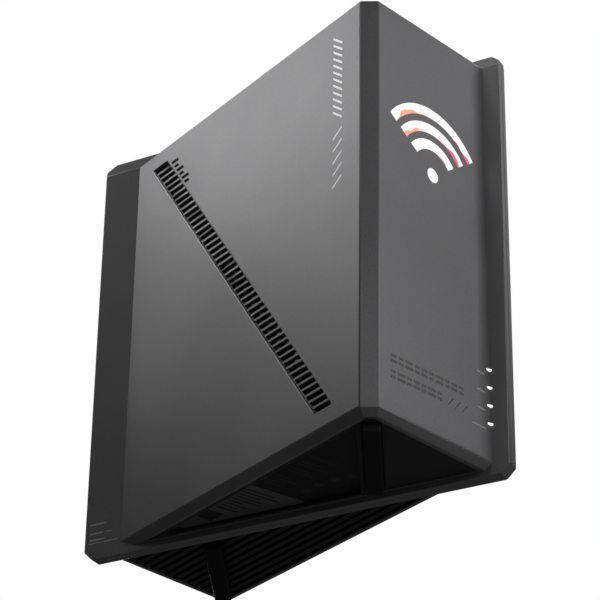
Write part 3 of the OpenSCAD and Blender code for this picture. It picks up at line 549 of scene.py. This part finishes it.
# Rating label: a printed grey film on the sunk panel, with a faint smooth sheen. Plain rows of bars stand
# for its text and a plain block for its code square, with faint marks on the bare panel beside it.
film = grained("grey polyester label film", 0.6, 0.003, "#38383b", "#414144",
               Roughness=0.45, Specular_IOR_Level=0.35)
finish_with(film, "rating_label")
soft_ink = grained("dark screen-printed ink", 0.3, 0.002, "#19191a", "#202021",
                   Roughness=0.6, Specular_IOR_Level=0.2)
faint = grained("faint moulded marks", 0.3, 0.002, "#1f1f22", "#28282b",
                Roughness=0.6, Specular_IOR_Level=0.3)


def beneath(low):
    """Places on the underside: across the long face, then depth above low, then along the face, in mm."""
    return lambda t, deep, s: long_face(s, np.asarray(t, float), low + deep)


def inner_limit(s):
    """How far across the sunk panel runs from the long face at s, in mm."""
    return 0.455 * np.asarray(s) - 4.6


line_start, line_pitch, line_thick, line_margin = 8.0, 2.3, 0.8, 10
line_share = np.array([1.0, 0.72, 0.9, 0.55, 1.0, 0.8, 0.62, 0.95, 0.7])
line_s = 50.6 + line_pitch * np.arange(len(line_share))
line_wide = (inner_limit(line_s) - line_margin) * line_share
lines = bars(line_start, line_s, line_wide, 0, line_thick)
block_t, block_s, block_wide, block_long = 7.2, 39.0, 6.6, 7.6
block = bars([block_t], [block_s], block_wide, 0, block_long)
label_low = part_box("rating_label")[0].z / MM
label_marks = np.concatenate([lines, block])
plaques("label_print", beneath(label_low), label_marks, ink_front, ink_back, soft_ink)
faint_s = [78.0, 80.4, 82.8, 85.2, 91.0, 93.2, 97.0, 99.4, 104.0]
faint_wide = [9.0, 7.5, 10.5, 6.0, 12.0, 8.0, 13.5, 9.0, 12.0]
faint_start, faint_thick, square_side = 9.0, 0.7, 3.4
faint_rows = bars(faint_start, faint_s, faint_wide, 0, faint_thick)
square_t, square_s = [24.0, 24.0, 25.5, 29.0], [79.0, 86.0, 93.0, 99.0]
squares = bars(square_t, square_s, square_side, 0, square_side)
panel_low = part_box("rating_label")[1].z / MM
panel_marks = np.concatenate([faint_rows, squares])
plaques("panel_marks", beneath(panel_low), panel_marks, ink_front, ink_back, faint)

# Tops: slotted covers of black ABS dropped into each wing's open top, which let the warm air out. Their
# moulds are spark-eroded, so they are an even matt black.
vented = grained("black ABS, spark-eroded finish", 0.35, 0.03, "#121213", "#1b1b1c", (0.45, 0.62),
                 Roughness=0.55)
for node in ("front_top_grille", "rear_top_grille"):
    soften(node, vented, 0.2, 3.0)

# Sockets: steel-shelled network ports with moulded inner sleeves, blue for the incoming line, gilt contacts,
# a USB socket and a power jack, all soldered to a board behind the rear wall. The tin is bright with fine
# rolling lines up the shells, the sleeves are satin, and the nylon of the jack and switch is dull.
rear_origin = rear_face(0, 0, 0) / MM
rear_way = rear_face(1, 0, 0) / MM - rear_origin
rear_way = rear_way / np.linalg.norm(rear_way)
rear_in = rear_face(0, 1, 0) / MM - rear_origin
rear_in = rear_in / np.linalg.norm(rear_in)
finish_with(circuit("socket circuit board", rear_way, rear_in), "io_board")
tinned = brushed("tinned sheet steel", (0, 0, 1), "#a9acaf", "#c3c6c8", (0.22, 0.38))
blue_sleeve = grained("blue moulded sleeve", 0.3, 0.006, "#1c4fa8", "#2359b6", Roughness=0.4)
dark_sleeve = grained("black moulded sleeve", 0.3, 0.006, "#17181a", "#1e1f21", Roughness=0.4)
mouth_half, mouth_start, mouth_end, mouth_low, mouth_high = 6, 0.3, 13.6, 1.5, 11.8
window_s, window_z, window_wide, window_thick = np.array([-7.2, 5.0]), 11.9, 2.2, 0.9


def in_mouth(port_s, port_z):
    """Picks the polygons in a port's mouth, from its middle along the rear face and its foot, in mm."""
    def chosen(middles):
        run = (middles - rear_origin) @ rear_way - port_s
        deep = (middles - rear_origin) @ rear_in
        up = middles[:, 2] - port_z
        inside = (np.abs(run) < mouth_half) & (deep > mouth_start) & (deep < mouth_end)
        return inside & (up > mouth_low) & (up < mouth_high)
    return chosen


windows = []
for node in ("wan_port", "lan_port_1", "lan_port_2", "lan_port_3"):
    low, high = [np.array(corner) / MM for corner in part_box(node)]
    port_s = float(((low + high) / 2 - rear_origin) @ rear_way)
    port = soften(node, tinned, 0.12, 1.5)
    split_finish(port, blue_sleeve if node == "wan_port" else dark_sleeve, in_mouth(port_s, low[2]))
    windows.append(bars(port_s + window_s, low[2] + window_z, window_wide, 0, window_thick))
smoke = grained("translucent indicator plastic", 0.3, 0.002, "#c9c48a", "#d6d29b",
                Roughness=0.25, Transmission_Weight=0.2)
plaques("port_indicators", rear_face, np.concatenate(windows), -0.03, 0.2, smoke)
gilt = brushed("gold-plated spring contacts", (0, 0, 0), "#d3a94f", "#e3bd66", (0.2, 0.3))
finish_with(gilt, "port_contacts", "antenna_sockets")
soften("usb_port", tinned, 0.15, 1.5)
finish_with(grained("blue moulded tongue", 0.3, 0.005, "#20508f", "#2a5b9c", Roughness=0.45), "usb_tongue")
nylon = grained("black glass-filled nylon", 0.25, 0.02, "#111112", "#19191a", Roughness=0.5)
finish_with(nylon, "dc_jack", "power_switch")
finish_with(brushed("nickel-plated brass pin", (0, 0, 0), "#cfc9b6", "#dcd7c6", (0.15, 0.28)), "dc_pin")
natural = grained("natural nylon", 0.4, 0.01, "#ddd8c8", "#e8e4d6", Roughness=0.5, Subsurface_Weight=0.1)
finish_with(natural, "board_link")

# Buttons: a latching power button with a ring mark, a round pairing button with two arcs, and a recessed red
# reset pin. Each is a moulded cap with a rounded satin rim, over a switch on the socket board.
cap = grained("black satin ABS cap", 0.4, 0.006, "#1b1b1d", "#232325", Roughness=0.35)
soften("power_button", cap, 0.35, 0.2, 3)
soften("wps_button", cap, 0.3, 0.1, 3)
red = grained("red acetal pin", 0.3, 0.005, "#a82c2a", "#b83634", Roughness=0.4)
soften("reset_button", red, 0.12, 0.05)
finish_with(tinned, "wps_switch", "reset_switch")
mark_thick, mark_front, mark_back, mark_steps = 0.36, -0.03, 0.1, 32


def arc_mark(name, place, middle, radius, start, end, body):
    """A thin raised arc on a face round middle, from start to end degrees clockwise from the top, in mm. Its
    four edges run half of mark_thick inside and outside radius, at the mark's two depths."""
    angle = np.radians(np.linspace(start, end, mark_steps + 1))
    outer, inner = radius + mark_thick / 2, radius - mark_thick / 2
    section = ((outer, mark_front), (inner, mark_front), (inner, mark_back), (outer, mark_back))
    edges = [place(middle[0] + r * np.sin(angle), deep, middle[1] + r * np.cos(angle)) for r, deep in section]
    points = np.stack(edges, axis=1).reshape(-1, 3)
    first, k = 4 * np.arange(mark_steps)[:, None], np.arange(4)
    after = (k + 1) % 4
    sides = np.stack([first + k, first + after, first + 4 + after, first + 4 + k], -1).reshape(-1, 4)
    ends = [[3, 2, 1, 0], [4 * mark_steps + i for i in range(4)]]
    piece = mesh_piece(name, points, np.concatenate([sides, ends]), pale_ink)
    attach(piece, body)


cap_faces, cap_middles = {}, {}
for node, cap_radius, mark_radius, spans in (("power_button", 3.8, 1.9, [(28, 332)]),
                                             ("wps_button", 2.6, 1.35, [(35, 145), (215, 325)])):
    low, high = [corner.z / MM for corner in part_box(node)]
    cap_faces[node] = flat_face(node, rear_look)
    cap_middles[node] = (cap_radius, (low + high) / 2)
    for i, (start, end) in enumerate(spans):
        arc_mark(f"{node}_mark_{i}", cap_faces[node], cap_middles[node], mark_radius, start, end,
                 body_of[node])
stem_s, stem_z = cap_middles["power_button"]
stem_up, stem_long = 0.9, 1.7
stem = bars([stem_s - mark_thick / 2], [stem_z + stem_up], mark_thick, 0, stem_long)
plaques("power_button_stem", cap_faces["power_button"], stem, mark_front, mark_back, pale_ink,
        body_of["power_button"])

# Main board: the processor, memory and radio chips, with sheet covers over the radios, on a black frame.
# The chips' epoxy is dull and faintly speckled, the gap pads are soft and matt, and the heat sinks show the
# upright lines of their extrusion.
finish_with(circuit("main circuit board", (1, 0, 0), (0, 0, 1)), "main_board")
epoxy = grained("black epoxy chip package", 0.2, 0.01, "#1a1b1d", "#232427", Roughness=0.55)
finish_with(epoxy, "processor", "memory_chips", "radio_chips")
finish_with(tinned, "shield_cans")
pad = grained("soft silicone gap pad", 0.7, 0.03, "#8196a8", "#93a7b8",
              Roughness=0.8, Specular_IOR_Level=0.3)
finish_with(pad, "thermal_pads")
frame_plastic = grained("black polycarbonate blend", 0.4, 0.02, "#161617", "#1e1e20", Roughness=0.5)
soften("board_frame", frame_plastic, 0.3, 3.0)
extruded = brushed("extruded aluminium", (0, 0, 1), "#94979b", "#adb0b4", (0.3, 0.45))
finish_with(extruded, "front_heat_sink", "rear_heat_sink")

# Antennas: flat circuit strips with etched copper, inside the fin's ends and at the top of the long walls,
# each with a thin jacketed lead. White leads serve the light boards.


def etched(name, way):
    """A flat antenna: a copper pattern of bands and gaps along way and up, under a thin lacquer, on brown
    laminate. The bands are 4.6 mm wide, 6.2 mm apart, and 7.8 mm tall, 10.6 mm apart."""
    half_band, band_edge, half_rung, rung_edge = 3.1, 2.3, 5.3, 3.9
    speck = 0.6
    made, tree, skin, where = material(name, Roughness=0.35, Coat_Weight=0.2)
    direction = tuple((np.array(way) / MM).tolist())
    run = add(tree, "VectorMath", {0: where}, {1: direction}, operation="DOT_PRODUCT")
    up = add(tree, "SeparateXYZ", {0: where}).outputs["Z"]
    high = add(tree, "Math", {0: up}, {1: 1 / MM}, operation="MULTIPLY")
    waves = add(tree, "Math", {0: run.outputs["Value"]}, {1: half_band}, operation="PINGPONG")
    rungs = add(tree, "Math", {0: high.outputs[0]}, {1: half_rung}, operation="PINGPONG")
    band = add(tree, "Math", {0: waves.outputs[0]}, {1: band_edge}, operation="LESS_THAN")
    rung = add(tree, "Math", {0: rungs.outputs[0]}, {1: rung_edge}, operation="LESS_THAN")
    copper = add(tree, "Math", {0: band.outputs[0], 1: rung.outputs[0]}, operation="MULTIPLY")
    fine = add(tree, "TexNoise", {"Vector": where}, {"Scale": 1 / (speck * MM), "Detail": 3.0})
    coppers = {6: linear("#a9683c"), 7: linear("#c07c4c")}
    metal = add(tree, "Mix", {0: fine.outputs[0]}, coppers, data_type="RGBA")
    browns = {6: linear("#574822"), 7: linear("#6b5a2e")}
    board = add(tree, "Mix", {0: fine.outputs[0]}, browns, data_type="RGBA")
    parts = {0: copper.outputs[0], 6: board.outputs[2], 7: metal.outputs[2]}
    colour = add(tree, "Mix", parts, data_type="RGBA")
    bump = add(tree, "Bump", {"Height": copper.outputs[0]}, {"Strength": 0.5, "Distance": 0.03 * MM})
    tree.links.new(colour.outputs[2], skin.inputs["Base Color"])
    tree.links.new(copper.outputs[0], skin.inputs["Metallic"])
    tree.links.new(bump.outputs[0], skin.inputs["Normal"])
    return made


long_way = long_face(1, 0, 0) - long_face(0, 0, 0)
long_way = long_way / np.linalg.norm(long_way)
finish_with(etched("etched copper edge antenna", (1, 0, 0)), "left_antenna", "right_antenna")
finish_with(etched("etched copper wall antenna", long_way), "front_top_antenna", "rear_top_antenna")
jacket = grained("black fluoropolymer jacket", 0.3, 0.01, "#121213", "#1a1a1b", Roughness=0.35)
finish_with(jacket, "antenna_leads")
white_jacket = grained("white vinyl jacket", 0.3, 0.01, "#dcdcde", "#e8e8ea", Roughness=0.45)
finish_with(white_jacket, "light_leads")
